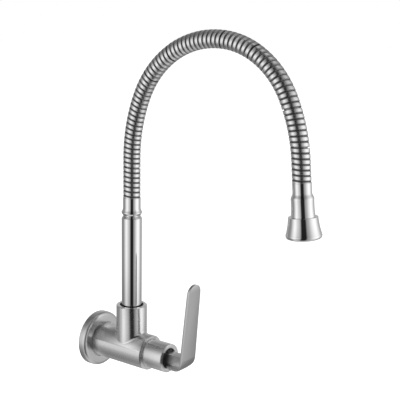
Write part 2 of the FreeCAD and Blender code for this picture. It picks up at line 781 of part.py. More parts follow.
def hose_span(number):
    """One span of the wound hose, hooked into the next by a round tongue."""
    start = number * SPAN_LENGTH
    end = start + SPAN_LENGTH
    pocket_r = GROOVE_D / 2 - POCKET_WALL
    tongue_r = pocket_r - RUNNING_GAP
    span = ribs(start, end, RIBS_PER_SPAN)
    if number < SPANS - 1:
        root = math.degrees(math.asin((SPAN_GAP / 2 + 0.4) / tongue_r))
        reach = math.degrees(math.asin(TONGUE_REACH / tongue_r))
        tongue = Part.makeSphere(tongue_r, ORIGIN, Z_AXIS, -root, reach, 360)
        point, turn = route(end)
        span = span.fuse(place(tongue, point, turn))
    span = span.cut(route_pipe(start - 1, end + TONGUE_REACH + 1, HOSE_BORE))
    if number:
        pocket = Part.makeSphere(pocket_r)
        point, turn = route(start)
        span = span.cut(place(pocket, point, turn))
    return span


def water_tube(number):
    """Stretch of the soft inner tube that belongs to one span."""
    start = number * SPAN_LENGTH + TUBE_GAP / 2
    end = (number + 1) * SPAN_LENGTH - TUBE_GAP / 2
    if number == 0:
        start = -TUBE_END
    if number == SPANS - 1:
        end = HOSE_LENGTH + TUBE_END
    outside = route_pipe(start, end, WATER_TUBE_D)
    return outside.cut(route_pipe(start - 1, end + 1, WATER_TUBE_BORE))


def at_nozzle(shape):
    """Hang a shape made about +Z on the end of the hose, +Z pointing out."""
    point, turn = route(HOSE_LENGTH)
    return place(shape, point, turn)


NECK_SPIGOT_D = NECK_END_D - 1.2
BELL_END = NECK_LENGTH + BELL_LENGTH
AERATOR_BASE = NECK_LENGTH + THREAD_HOLD + SEAL_THICKNESS
AERATOR_END = AERATOR_BASE + AERATOR_LENGTH
AERATOR_D = BELL_COUNTERBORE - 2 * FIT


def nozzle_neck():
    """Neck of the nozzle: sleeve on the hose, flare and threaded spigot."""
    flare = NECK_SLEEVE + NECK_FLARE
    mid_r = NECK_MID_D / 2
    end_r = NECK_END_D / 2
    spigot_r = NECK_SPIGOT_D / 2
    spigot_end = NECK_LENGTH + THREAD_HOLD
    bore = TUBE_NECK_BORE / 2
    wide_bore = spigot_r - NECK_WALL
    return at_nozzle(spin([
        (bore, 0), (NECK_TOP_D / 2, 0), (NECK_TOP_D / 2, NECK_SLEEVE),
        (((NECK_TOP_D / 2 + mid_r) / 2 + 0.1, NECK_SLEEVE + 0.55 * NECK_FLARE), (mid_r, flare)),
        (((mid_r + end_r) / 2 - 0.25, (flare + NECK_LENGTH) / 2 + 2), (end_r, NECK_LENGTH)),
        (spigot_r, NECK_LENGTH), (spigot_r, spigot_end), (wide_bore, spigot_end),
        (wide_bore, flare + 8), (bore, flare + 8)]))


def spray_bell():
    """Bell screwed on the neck: sharp shoulder, concave flare, round edge."""
    shoulder_r = BELL_TOP_D / 2
    mouth_r = BELL_MOUTH_D / 2
    waist = NECK_LENGTH + 0.36 * BELL_LENGTH
    wide = BELL_END - 1.55 * BELL_EDGE
    inner = BELL_COUNTERBORE / 2
    hold = NECK_LENGTH + THREAD_HOLD - 1
    return at_nozzle(spin([
        (NECK_SPIGOT_D / 2 + FIT, NECK_LENGTH), (shoulder_r, NECK_LENGTH),
        ((BELL_WAIST_D / 2, waist), (mouth_r - 0.3, wide)),
        ((mouth_r, BELL_END - BELL_EDGE), (mouth_r - 0.3 * BELL_EDGE, BELL_END - 0.3 * BELL_EDGE)),
        (mouth_r - BELL_EDGE, BELL_END), (inner, BELL_END),
        (inner, hold), (NECK_SPIGOT_D / 2 + FIT, hold)]))


def nozzle_seal():
    """Rubber washer between the neck's end and the aerator."""
    low = NECK_LENGTH + THREAD_HOLD
    return at_nozzle(ring(AERATOR_D, NECK_SPIGOT_D - 2 * NECK_WALL, low, low + SEAL_THICKNESS))


def aerator_shell():
    """Aerator cup with its grid of bars at the outlet."""
    inner = AERATOR_D - 2 * AERATOR_WALL
    shell = ring(AERATOR_D, inner, AERATOR_BASE, AERATOR_END)
    grid_low = AERATOR_END - GRID_THICKNESS
    pitch = inner / (GRID_BARS + 1)
    disc = rod(AERATOR_D - AERATOR_WALL, grid_low, AERATOR_END)
    for count in range(GRID_BARS):
        offset = (count - (GRID_BARS - 1) / 2) * pitch
        low, high = offset - GRID_BAR / 2, offset + GRID_BAR / 2
        shell = shell.fuse(box(low, high, -inner, inner, grid_low, AERATOR_END).common(disc))
        shell = shell.fuse(box(-inner, inner, low, high, grid_low, AERATOR_END).common(disc))
    return at_nozzle(shell.removeSplitter())


def aerator_diffuser():
    """Plastic disc with a ring of jets, above the screens."""
    diameter = AERATOR_D - 2 * AERATOR_WALL - 2 * FIT
    low = AERATOR_BASE
    high = low + DIFFUSER_THICKNESS
    disc = rod(diameter, low, high)
    for jet in range(JETS):
        hole = rod(JET_D, low - 1, high + 1)
        hole.translate(Vector(diameter / 3, 0, 0))
        hole.rotate(ORIGIN, Z_AXIS, 360 / JETS * jet)
        disc = disc.cut(hole)
    return at_nozzle(disc)


def aerator_screens():
    """Two thin round screens under the diffuser."""
    diameter = AERATOR_D - 2 * AERATOR_WALL - 2 * FIT
    low = AERATOR_BASE + DIFFUSER_THICKNESS
    upper = rod(diameter, low, low + SCREEN_THICKNESS)
    lower = rod(diameter, low + SCREEN_PITCH, low + SCREEN_PITCH + SCREEN_THICKNESS)
    return at_nozzle(Part.makeCompound([upper, lower]))


def all_nodes():
    """Every piece of the tap by its file name."""
    nodes = {
        "wall_flange": wall_flange(),
        "valve_body": valve_body(),
        "seat_seal": seat_seal(),
        "cartridge_housing": cartridge_housing(),
        "housing_oring": housing_oring(),
        "fixed_disc": fixed_disc(),
        "moving_disc": moving_disc(),
        "cartridge_spindle": cartridge_spindle(),
        "thrust_washer": thrust_washer(),
        "spindle_orings": spindle_orings(),
        "spindle_clip": spindle_clip(),
        "bonnet_collar": bonnet_collar(),
        "lever_handle": lever_handle(),
        "handle_grub_screw": handle_grub_screw(),
        "swivel_nipple": swivel_nipple(),
        "swivel_orings": swivel_orings(),
        "slip_ring": slip_ring(),
        "spout_lock_screw": spout_lock_screw(),
        "spout_tube": spout_tube(),
        "lower_ferrule": lower_ferrule(),
        "lower_hose_tail": lower_hose_tail(),
        "upper_hose_tail": upper_hose_tail(),
        "nozzle_neck": nozzle_neck(),
        "spray_bell": spray_bell(),
        "nozzle_seal": nozzle_seal(),
        "aerator_shell": aerator_shell(),
        "aerator_diffuser": aerator_diffuser(),
        "aerator_screens": aerator_screens(),
    }
    for number in range(SPANS):
        nodes["hose_span_%02d" % (number + 1)] = hose_span(number)
        nodes["water_tube_%02d" % (number + 1)] = water_tube(number)
    return nodes


def main():
    """Write one STEP file for each piece and print the hose's figures."""
    os.makedirs("parts", exist_ok=True)
    for name, shape in all_nodes().items():
        if not shape.isValid():
            print("not valid:", name)
        shape.exportStep("parts/" + name + ".step")
        print("%-20s %9.1f mm3, %d solids" % (name, shape.Volume, len(shape.Solids)))
    print("hose length %.1f mm, ribs %d, pitch %.2f mm" % (HOSE_LENGTH, SPANS * RIBS_PER_SPAN, TRUE_PITCH))
    for number in range(1, SPANS):
        point, turn = route(number * SPAN_LENGTH)
        print("pivot %2d: y %.2f z %.2f turn %.2f" % (number, point.y, point.z, turn))
    end, turn = route(HOSE_LENGTH)
    print("hose end: y %.2f z %.2f turn %.2f" % (end.y, end.z, turn))


main()
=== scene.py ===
# %% [markdown]
# # A sink tap with a flexible spout
#
# The tap hangs on the wall: a round flange, a satin barrel with a lever, an
# upright polished tube and a wound metal hose that arches over to a bell.
# The solids come from the engineering model. This lesson gives them their
# finish: it redraws the shiny pieces as smooth surfaces of revolution, winds
# the hose as a true helix, and lights it all with a tent of light.

import json
import math

import bmesh
import bpy
import numpy as np
from mathutils import Matrix


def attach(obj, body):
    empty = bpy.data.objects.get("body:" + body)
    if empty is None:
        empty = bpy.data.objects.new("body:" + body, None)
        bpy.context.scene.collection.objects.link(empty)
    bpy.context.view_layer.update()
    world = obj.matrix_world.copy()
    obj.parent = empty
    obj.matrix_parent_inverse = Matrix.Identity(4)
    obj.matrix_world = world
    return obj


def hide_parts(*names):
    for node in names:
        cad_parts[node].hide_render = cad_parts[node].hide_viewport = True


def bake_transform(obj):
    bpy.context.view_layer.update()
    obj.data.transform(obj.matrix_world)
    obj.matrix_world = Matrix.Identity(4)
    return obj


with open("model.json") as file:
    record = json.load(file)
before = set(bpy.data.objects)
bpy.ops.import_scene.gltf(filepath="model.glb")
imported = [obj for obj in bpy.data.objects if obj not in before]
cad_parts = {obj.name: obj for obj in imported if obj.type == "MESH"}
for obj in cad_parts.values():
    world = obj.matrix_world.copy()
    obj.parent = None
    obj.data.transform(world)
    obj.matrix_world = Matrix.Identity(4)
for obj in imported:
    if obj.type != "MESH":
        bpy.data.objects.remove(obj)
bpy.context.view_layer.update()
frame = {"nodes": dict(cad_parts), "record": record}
nodes = frame["nodes"]

# %% [markdown]
# ## The camera
#
# A camera is a position and three directions: to the right, up, and back out
# of the picture. They could be found by turning the view by hand. Here they
# were fitted to the photograph, from the outlines of the flange, the barrel
# and the upright tube. The four columns below are those three directions and
# the position, and together they are the camera's matrix.

# %% Place the camera
CAMERA_PLACE = (-0.7490, -0.6983, 0.3762)
CAMERA_RIGHT = (0.6072, -0.7944, 0.0157)
CAMERA_UP = (0.1658, 0.1460, 0.9753)
CAMERA_BACK = (-0.7771, -0.5896, 0.2204)
FOCAL_PIXELS = 1044.16
PICTURE_PIXELS = 400

camera_data = bpy.data.cameras.new("camera")
camera = bpy.data.objects.new("camera", camera_data)
bpy.context.scene.collection.objects.link(camera)
columns = Matrix((CAMERA_RIGHT, CAMERA_UP, CAMERA_BACK)).transposed()
camera.matrix_world = Matrix.Translation(CAMERA_PLACE) @ columns.to_4x4()
camera_data.sensor_width = 36
camera_data.lens = FOCAL_PIXELS / PICTURE_PIXELS * camera_data.sensor_width
camera_data.clip_start = 0.02
bpy.context.scene.camera = camera
print("lens %.2f mm" % camera_data.lens)

# %% [markdown]
# ## Surfaces from grids
#
# Every new piece here is a sheet of points in rows and columns, closed into a
# shell. It could be built face by face, but a grid is one numpy array, and
# its faces follow from arithmetic on the row and column numbers. Smooth
# shading with sharp edges marked by angle then gives clean reflections.

# %% A grid becomes a mesh
MILLIMETRE = 0.001
SHARP_ANGLE = math.radians(35)


def grid_faces(rows, columns, wrap_rows):
    """Corner numbers of each square of a grid.

    Square (i, j) joins point i, j to its neighbours in the next row and the
    next column. The number of a point is its row times the number of columns
    plus its column, and the last column counts round to the first.
    """
    row = np.arange(rows if wrap_rows else rows - 1)[:, None]
    column = np.arange(columns)[None, :]
    next_row = (row + 1) % rows
    next_column = (column + 1) % columns
    corners = [row * columns + column, next_row * columns + column,
               next_row * columns + next_column, row * columns + next_column]
    return np.stack(np.broadcast_arrays(*corners), axis=-1).reshape(-1, 4)


def grid_piece(name, points, wrap_rows=True):
    """Mesh object from an array of points with shape rows, columns, 3.

    The columns always close to a loop. The rows do too, or else the first
    and the last row each get one face as a lid.
    """
    rows, columns = points.shape[:2]
    faces = grid_faces(rows, columns, wrap_rows).tolist()
    if not wrap_rows:
        loop = list(range(columns))
        faces.append(loop)
        faces.append([(rows - 1) * columns + number for number in reversed(loop)])
    mesh = bpy.data.meshes.new(name)
    mesh.from_pydata(points.reshape(-1, 3), [], faces)
    mesh.shade_smooth()
    mesh.set_sharp_from_angle(angle=SHARP_ANGLE)
    piece = bpy.data.objects.new(name, mesh)
    bpy.context.scene.collection.objects.link(piece)
    return piece


def read(items, name, width, kind=float):
    """Array of one value, or one vector, from each item of a mesh's list."""
    values = np.empty(len(items) * width, kind)
    items.foreach_get(name, values)
    return values.reshape(-1, width)


def outward(piece):
    """Turn a closed shell inside out if its volume comes out negative.

    The volume is the sum, over the triangles, of the corner vectors' triple
    product divided by six. It is negative when the faces look inwards.
    """
    mesh = piece.data
    mesh.calc_loop_triangles()
    corners = read(mesh.loop_triangles, "vertices", 3, int)
    a, b, c = read(mesh.vertices, "co", 3)[corners].transpose(1, 0, 2)
    volume = np.einsum("ij,ij->i", a, np.cross(b, c)).sum() / 6
    if volume < 0:
        mesh.flip_normals()
    return abs(volume)


# %% [markdown]
# ## Turned pieces
#
# The flange, collar, tube, ferrule, neck and bell were all turned on a lathe
# or spun, so each one is an outline carried round an axis. Blender's Spin or
# Screw modifier could do it. A formula is as short and exact: a point of the
# outline at radius r and height h goes round a circle of radius r.
# Real edges are never razor sharp, so each corner of an outline is first
# rounded with a small arc, which is what catches the light.

# %% Outlines and lathe
SIDE_SHARE = 0.45


def rounded(outline, radius, steps=4):
    """Outline with every corner replaced by a small curve.

    At each corner, two points are taken a little before and after it, no
    further than a set share of the shorter side. Between them runs the quadratic
    curve (1-t) squared times the first, plus 2t(1-t) times the corner, plus
    t squared times the second. The radius is one number, or one per corner.
    """
    corner = np.array(outline, float)
    before = np.roll(corner, 1, axis=0) - corner
    after = np.roll(corner, -1, axis=0) - corner
    length_before = np.linalg.norm(before, axis=1, keepdims=True)
    length_after = np.linalg.norm(after, axis=1, keepdims=True)
    shorter = np.minimum(length_before, length_after)
    reach = np.minimum(np.reshape(radius, (-1, 1)), SIDE_SHARE * shorter)
    start = (corner + before / length_before * reach)[:, None]
    end = (corner + after / length_after * reach)[:, None]
    t = np.linspace(0, 1, steps + 1)[None, :, None]
    curve = (1 - t) ** 2 * start + 2 * t * (1 - t) * corner[:, None] + t ** 2 * end
    return curve.reshape(-1, 2)


def arc(start, middle, end, steps=12):
    """Points of the circle through three points, without the last one.

    The centre is where the middle lines of two chords meet, which is a small
    linear system, and the angle then runs evenly from start to end.
    """
    start, middle, end = (np.array(point, float) for point in (start, middle, end))
    chords = np.array([middle - start, end - start])
    levels = [chords[0] @ (middle + start) / 2, chords[1] @ (end + start) / 2]
    centre = np.linalg.solve(chords, levels)
    radius = np.linalg.norm(start - centre)
    angles = [math.atan2(*(point - centre)[::-1]) for point in (start, middle, end)]
    sweep = (angles[2] - angles[0] + math.pi) % (2 * math.pi) - math.pi
    angle = angles[0] + sweep * np.linspace(0, 1, steps, endpoint=False)
    return centre + radius * np.stack([np.cos(angle), np.sin(angle)], axis=1)


def lathe(name, outline, foot, axis, steps=160):
    """Carry an outline of (radius, height) pairs, in millimetres, round an axis.

    A point is the foot, plus height times the axis, plus radius times a
    circle in the two directions square to the axis.
    """
    outline = np.array(outline) * MILLIMETRE
    axis = np.array(axis, float) / np.linalg.norm(axis)
    side = np.array((1.0, 0.0, 0.0))
    front = np.cross(axis, side)
    turn = np.linspace(0, 2 * np.pi, steps, endpoint=False)
    circle = np.cos(turn)[:, None] * side + np.sin(turn)[:, None] * front
    points = (np.array(foot) * MILLIMETRE + outline[:, 1, None, None] * axis
              + outline[:, 0, None, None] * circle[None])
    piece = grid_piece(name, points)
    volume = outward(piece)
    print("%-14s %6d faces, %8.1f mm3" % (name, len(piece.data.polygons), volume * 1e9))
    return piece


# %% [markdown]
# ## Flange and collar
#
# The flange is a shallow cup pressed from sheet, whose rounded rim covers the
# hole in the wall. The collar is a turned tube, screwed on the barrel over
# the cartridge. Both lie on the barrel's axis, which runs out of the wall
# along minus Y, so their heights are distances from the wall. Where each one
# meets the barrel, a narrow turned gap makes the dark line that parts them.

# %% Turn the flange and the collar
WALL = (0, 0, 0)
OUT_OF_WALL = (0, -1, 0)

flange_outline = [(27.8, 0), (27.8, 8.8), (17.9, 8.8), (17.9, 7.5), (16.3, 7.5), (16.3, 8.8),
                  (10.75, 8.8), (10.75, 7.2), (24.0, 7.2), (26.2, 5.5), (26.2, 0)]
flange_corners = [0.35, 3.8] + [0.35] * 9
flange = lathe("flange", rounded(flange_outline, flange_corners, steps=8), WALL, OUT_OF_WALL)

collar_outline = [(12.85, 72), (13.2, 72), (13.2, 72.7), (14.2, 72.9), (14.2, 95.5),
                  (9.9, 95.5), (9.9, 83.5), (12.85, 83.5)]
collar = lathe("collar", rounded(collar_outline, 0.8), WALL, OUT_OF_WALL)

# %% [markdown]
# ## Upright tube and ferrule
#
# The tube stands in the socket of the barrel and turns in it. Its top is spun
# in to a narrow neck, and there the ferrule begins: a bead for the fingers
# and a straight sleeve that grips the hose. They share one axis, so the same
# lathe call serves, with the foot of the socket as its start.

# %% Turn the tube and the ferrule
SOCKET = (0, -46.8, 0)
UPWARDS = (0, 0, 1)
FERRULE_TOP = 154.0

tube_outline = [(9, 37), (10, 37), (10, 133.6), (8.3, 136), (7.3, 136), (9, 133.6)]
tube = lathe("upright_tube", rounded(tube_outline, 0.5), SOCKET, UPWARDS)

ferrule_outline = np.concatenate([
    [(7.3, 136), (8.3, 136)],
    arc((9.8, 138.52), (10.1, 139.42), (9.85, 140.22)),
    arc((9.85, 140.22), (9.075, 141.89), (8.65, 143.56)),
    [(8.65, 143.56), (8.65, FERRULE_TOP), (7.3, FERRULE_TOP)]])
ferrule = lathe("ferrule", rounded(ferrule_outline, 0.3), SOCKET, UPWARDS)

# %% [markdown]
# ## The line of the hose
#
# The hose rises straight, arches over in four bends of different radius and
# hangs down to the bell. A Bezier curve would come close, but the engineering
# model uses straight runs and tangent arcs, and the same formula keeps both
# models together. Each point of the line also has a turn: the angle between
# the hose and straight up, which grows by the arc's share of its bend.

# %% Follow the centreline
STRAIGHT = None
RUNS = [(38.8, STRAIGHT), (23.6, 153.7), (70.9, 96.2), (59.3, 82.1), (21.1, 149.3), (18.0, STRAIGHT)]


def run_length(size, radius):
    """A straight's own length, or an arc's angle in radians times its radius."""
    return size if radius is STRAIGHT else math.radians(size) * radius


HOSE_LENGTH = sum(run_length(size, radius) for size, radius in RUNS)


def hose_line(distance):
    """Points and turns of the line at an array of distances from its foot.

    Along a straight, the point moves by the distance times (0, -sin, cos) of
    the turn. Along an arc of radius R that turns from a to b, it moves by R
    times (0, cos b - cos a, sin b - sin a). The first and the last straight
    go on past the hose's ends.
    """
    place = np.zeros(distance.shape + (3,)) + (0, SOCKET[1], FERRULE_TOP)
    turn = np.zeros(distance.shape)
    start = 0.0
    for number, (size, radius) in enumerate(RUNS):
        length = run_length(size, radius)
        done = np.clip(distance - start, 0, length)
        if number == 0:
            done = np.minimum(distance, length)
        if number == len(RUNS) - 1:
            done = np.maximum(distance - start, 0)
        if radius is STRAIGHT:
            place[..., 1] -= done * np.sin(turn)
            place[..., 2] += done * np.cos(turn)
        else:
            end = turn + done / radius
            place[..., 1] += radius * (np.cos(end) - np.cos(turn))
            place[..., 2] += radius * (np.sin(end) - np.sin(turn))
            turn = end
        start += length
    return place, turn


hose_end, hose_end_turn = hose_line(np.array(HOSE_LENGTH))
print("hose %.1f mm, end at y %.1f z %.1f, turned %.1f degrees"
      % (HOSE_LENGTH, hose_end[1], hose_end[2], math.degrees(hose_end_turn)))

# %% [markdown]
# ## The winding
#
# A stay-put hose is wound from a steel strip, so what shows is a row of bright
# round ribs with narrow dark grooves, climbing as a left-handed screw. It
# could be an array of rings, but rings have no slope. A radius that depends
# on both the distance and the angle gives the true helix in one grid.
#
# Radii and lengths are in millimetres. The grid's last column stops just short
# of its first, for a reason that the next step gives.

# %% Wind the hose
SPANS = 12
RIBS = 80
STARTS = 1
CREST = 8.4
GROOVE = 7.25
BORE = 6.0
RIB_STEPS = 20
ROUND_STEPS = 72
SEAM = 0.01
span_length = HOSE_LENGTH / SPANS
rib_pitch = HOSE_LENGTH / RIBS
circle = np.linspace(0, 2 * np.pi - SEAM, ROUND_STEPS)
print("ribs every %.2f mm, spans of %.1f mm" % (rib_pitch, span_length))


def off_crest(distance, angle):
    """How far a point is from the crest of its rib: 0 on it, 1 in the groove.

    The phase is the distance in ribs, plus the number of starts times the
    share of the circle. Its fraction runs from 0 to 1 over each rib, with the
    crest at one half.
    """
    phase = distance / rib_pitch + STARTS * angle / (2 * np.pi)
    return np.abs(2 * (phase % 1) - 1)


def rib_radius(off):
    """Radius of the winding where it is that far off the crest.

    The rib's height is the root of 1 minus the way off to the fourth power,
    which makes a round back with steep sides.
    """
    return GROOVE + (CREST - GROOVE) * np.sqrt(1 - off ** 4)


# %% [markdown]
# ## Where the hose parts
#
# The real hose gives a little in every groove. Here it has eleven pivots. Where it sways sideways, one
# length runs over the pivot in one piece, which is built in place and hung on no body. The others could
# bend smoothly between their bodies, but they all turn about one direction, and a blend between such
# bodies goes wrong when several of them are turned. So there the lengths stay stiff and part along a
# groove, as the real turns do. The groove's sides are cut back by half a slot each, which leaves room
# for the turn. Below it, a tapered tongue runs in a pocket of the next length, so no light comes
# through.
#
# A groove that winds like a screw comes round one pitch away from where it
# began. So the cut has a step, on the side where the pivot's axis comes out and
# where the least moves. The grid's first and last columns are the two sides of
# the step, and the lower length's step gives way by a small angle. The even
# rings end 0.85 of a pitch away from the middle of the slanting edge, and the
# rings between the two fan out.

# %% Two kinds of ends
SLOT = 1.22
STEP_GIVE = 0.05
EVEN_PITCHES = 0.85
END_STEPS = 26
TONGUE = 6.8
TONGUE_TAPER = 0.1
TONGUE_REACH = 4.4
TONGUE_STEPS = 7
POCKET = 7.15
POCKET_REACH = 5.4
POCKET_STEPS = 3
BORE_STEPS = 9


def end_rings(place, parted, side):
    """Distance of a length's last even ring, and of its edge at each angle.

    The place counts rigid spans. A parted end follows the groove next to its
    pivot: the groove's number, minus the share of the circle, times the
    pitch. It keeps half the slot away from it, above for a foot (side 1) and
    below for a top (side -1).
    """
    pivot = place * span_length
    if not parted:
        return pivot, np.full(ROUND_STEPS, pivot)
    groove = round(pivot / rib_pitch + 0.5)
    edge = rib_pitch * (groove - STARTS * circle / (2 * np.pi)) + side * SLOT / 2
    return rib_pitch * (groove - 0.5 + side * EVEN_PITCHES), edge


print("slot of %.2f mm, tongue up to %.2f mm past the pivot" % (SLOT, TONGUE_REACH))

# %% Rings of one length
def length_rings(foot, top, foot_parted, top_parted):
    """Distance, angle, radius and way off the crest at each point of a length.

    The rings run up the outside, over the tongue if there is one, down the
    bore, and out over the pocket if there is one. Between the two even rings
    they lie evenly, and beyond them they fan out to the parted edge. The
    tongue's radius falls by its taper times the distance past the pivot.
    """
    foot_even, foot_edge = end_rings(foot, foot_parted, 1)
    top_even, top_edge = end_rings(top, top_parted, -1)
    bore_foot, bore_top = foot * span_length, top * span_length
    rows = round((top_even - foot_even) / rib_pitch * RIB_STEPS)
    outside = [np.linspace(foot_even, top_even, rows + 1)[:, None] + 0 * circle]
    tongue, pocket = np.empty((0, ROUND_STEPS)), np.empty((0, ROUND_STEPS))
    if foot_parted:
        bore_foot += POCKET_REACH
        outside.insert(0, np.linspace(foot_edge, foot_even, END_STEPS, endpoint=False))
        pocket = np.linspace(bore_foot, foot_edge, POCKET_STEPS)
    if top_parted:
        bore_top += TONGUE_REACH
        outside.append(np.linspace(top_even, top_edge, END_STEPS + 1)[1:])
        tongue = np.linspace(top_edge, bore_top, TONGUE_STEPS)
    outside = np.concatenate(outside)
    bore = np.linspace(bore_top, bore_foot, BORE_STEPS)[:, None] + 0 * circle

    distance = np.concatenate([outside, tongue, bore, pocket])
    # Tongue, bore and pocket count as groove, so they get the groove's grey: painted shade where the
    # tongue shows in a slot.
    off = np.ones(distance.shape)
    off[:len(outside)] = off_crest(outside, circle)
    tongue_radius = TONGUE - TONGUE_TAPER * np.maximum(tongue - top * span_length, 0)
    radius = np.concatenate([rib_radius(off[:len(outside)]), tongue_radius,
                             0 * bore + BORE, 0 * pocket + POCKET])
    angle = 0 * distance + circle
    if top_parted:
        angle[:, [0, -1]] += np.where(distance[:, [0, -1]] > top_even, STEP_GIVE, 0)
    return distance, angle, radius, off


def hose_length_piece(name, *ends):
    """Closed length of the hose, bent along the hose's line.

    A point is the line's point plus its radius times (cos, sin) of the angle,
    in the X direction and in the line's own front direction.
    """
    distance, angle, radius, off = length_rings(*ends)
    place, turn = hose_line(distance)
    front = np.stack([np.zeros_like(turn), np.cos(turn), np.sin(turn)], axis=-1)
    points = (place + (radius * np.cos(angle))[..., None] * (1.0, 0.0, 0.0)
              + (radius * np.sin(angle))[..., None] * front)
    piece = grid_piece(name, points * MILLIMETRE)
    outward(piece)
    kept = piece.data.attributes.new("off_crest", "FLOAT", "POINT")
    kept.data.foreach_set("value", off.ravel().astype(np.float32))
    return piece


# %% Cut the hose and hang each stiff length on its body
SWAYS = (3, 6, 9)
chain = ["spout"] + ["hose_%02d" % number for number in range(2, SPANS)] + ["nozzle"]
cuts = {0: False, SPANS: False}
for pivot in range(1, SPANS):
    if pivot in SWAYS:
        cuts[pivot - 0.5] = cuts[pivot + 0.5] = False
    else:
        cuts[pivot] = True
places = sorted(cuts)
hose_pieces = []
for number, (low, high) in enumerate(zip(places[:-1], places[1:])):
    piece = hose_length_piece("wound_hose_%02d" % number, low, high, cuts[low], cuts[high])
    middle = (low + high) / 2
    if middle in SWAYS:
        ends = hose_line(np.array([low, high]) * span_length)[0] * MILLIMETRE
        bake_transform(piece)
    else:
        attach(piece, chain[int(middle)])
    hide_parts("hose_span_%02d" % (int(middle) + 1))
    hose_pieces.append(piece)
print("hose lengths:", len(hose_pieces), "faces:", sum(len(p.data.polygons) for p in hose_pieces))

# %% [markdown]
# ## The nozzle
#
# The neck swells from a sleeve on the hose to a wider grip, and the bell is
# screwed over it: a sharp shoulder, a side that curves in and then flares,
# and a rounded edge round the outlet. Both are turned pieces again, about the
# line on which the hose ends. The swell follows half a cosine wave, which
# starts and ends along the axis, so it shows no edge.

# %% Turn the neck and the bell
downwards = (0, -math.sin(hose_end_turn), math.cos(hose_end_turn))

swell = (1 - np.cos(np.linspace(0, math.pi, 13))) / 2
neck_outline = np.concatenate([
    [(7.3, 0), (8.45, 0)],
    np.stack([8.45 + 1.75 * swell, np.linspace(8.8, 14.2, 13)], axis=1),
    arc((10.2, 14.6), (10.2, 23.8), (10.7, 29.9)),
    [(10.7, 29.9), (10.1, 29.9), (10.1, 36.9), (8.5, 36.9), (8.5, 21.7), (7.3, 21.7)]])
neck = lathe("nozzle_neck_skin", rounded(neck_outline, 0.5), hose_end, downwards)

bell_outline = np.concatenate([
    [(10.15, 29.9), (13.1, 29.9)],
    arc((13.12, 30.2), (13.9, 36.88), (15.7, 44.65)),
    arc((15.7, 44.65), (16, 46.3), (15.1, 48.4)),
    [(15.1, 48.4), (13, 49.3), (12.2, 49.3), (12.2, 35.9), (10.15, 35.9)]])
bell = lathe("nozzle_bell_skin", rounded(bell_outline, 0.3), hose_end, downwards)

for piece, body, node in ((flange, "valve", "wall_flange"), (collar, "valve", "bonnet_collar"),
                          (tube, "spout", "spout_tube"), (ferrule, "spout", "lower_ferrule"),
                          (neck, "nozzle", "nozzle_neck"), (bell, "nozzle", "spray_bell")):
    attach(piece, body)
    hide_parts(node)

# %% [markdown]
# ## Barrel and lever
#
# The barrel with its welded branch and the cast lever have the right shape
# already. They are copied, so that the engineering mesh stays as it is. The
# copy's loose triangles are merged, flat areas are dissolved into single
# faces, and small bevels break the lever's edges, as polishing does.

# %% Copy a node into a clean mesh
def merged_copy(name, node, flat_angle):
    """Copy of a CAD node with its doubles merged and its flat areas joined.

    Two faces are joined where the angle between them is under flat_angle.
    """
    mesh = nodes[node].data.copy()
    mesh.name = name
    form = bmesh.new()
    form.from_mesh(mesh)
    bmesh.ops.remove_doubles(form, verts=form.verts, dist=1e-6)
    bmesh.ops.dissolve_limit(form, angle_limit=flat_angle, verts=form.verts, edges=form.edges)
    bmesh.ops.recalc_face_normals(form, faces=form.faces)
    form.to_mesh(mesh)
    form.free()
    mesh.shade_smooth()
    piece = bpy.data.objects.new(name, mesh)
    bpy.context.scene.collection.objects.link(piece)
    print(name, "has", len(mesh.polygons), "faces")
    return piece


lever = merged_copy("lever_skin", "lever_handle", flat_angle=math.radians(0.5))
barrel = merged_copy("barrel_skin", "valve_body", flat_angle=math.radians(0.2))

# %% [markdown]
# ## The lever's heel
#
# Under the blade, the round foot meets the heel, which bends the other way, in
# a crease. On the real lever, polishing has softened it. A bevel would need
# more room than the narrow faces leave. So the faces are first cut finely,
# and each point is then pushed in until it lies on a rounded form.

# %% Cut the heel finely
HEEL_BACK = -99.0
HEEL_TOP = -4.2


def cut_finely(form, low, high, axis, step):
    """Cut the faces around the heel with planes square to an axis."""
    for place in np.arange(low, high, step):
        near = [face for face in form.faces
                if face.calc_center_median().y < HEEL_BACK * MILLIMETRE
                and face.calc_center_median().z < HEEL_TOP * MILLIMETRE]
        edges = {edge for face in near for edge in face.edges}
        points = {point for face in near for point in face.verts}
        normal = np.eye(3)[axis]
        bmesh.ops.bisect_plane(form, geom=list(points) + list(edges) + near, dist=1e-7,
                               plane_co=normal * place * MILLIMETRE, plane_no=normal)


form = bmesh.new()
form.from_mesh(lever.data)
cut_finely(form, low=-118, high=-100, axis=1, step=1.0)
cut_finely(form, low=-9, high=9.1, axis=0, step=1.5)
form.to_mesh(lever.data)
form.free()
print("lever cut into", len(lever.data.polygons), "faces")

# %% Round the heel
FOOT_RADIUS = 10.75
HEEL_RADIUS = 18.0
HEEL_CENTRE = (-101.495, 7.25)
SOFTNESS = 6.0
SOFT_BEHIND = -99.9
SOFT_BELOW = -4.5
SOFT_DEPTH = 3.0
PASSES = 4
TOUCHING = 0.1


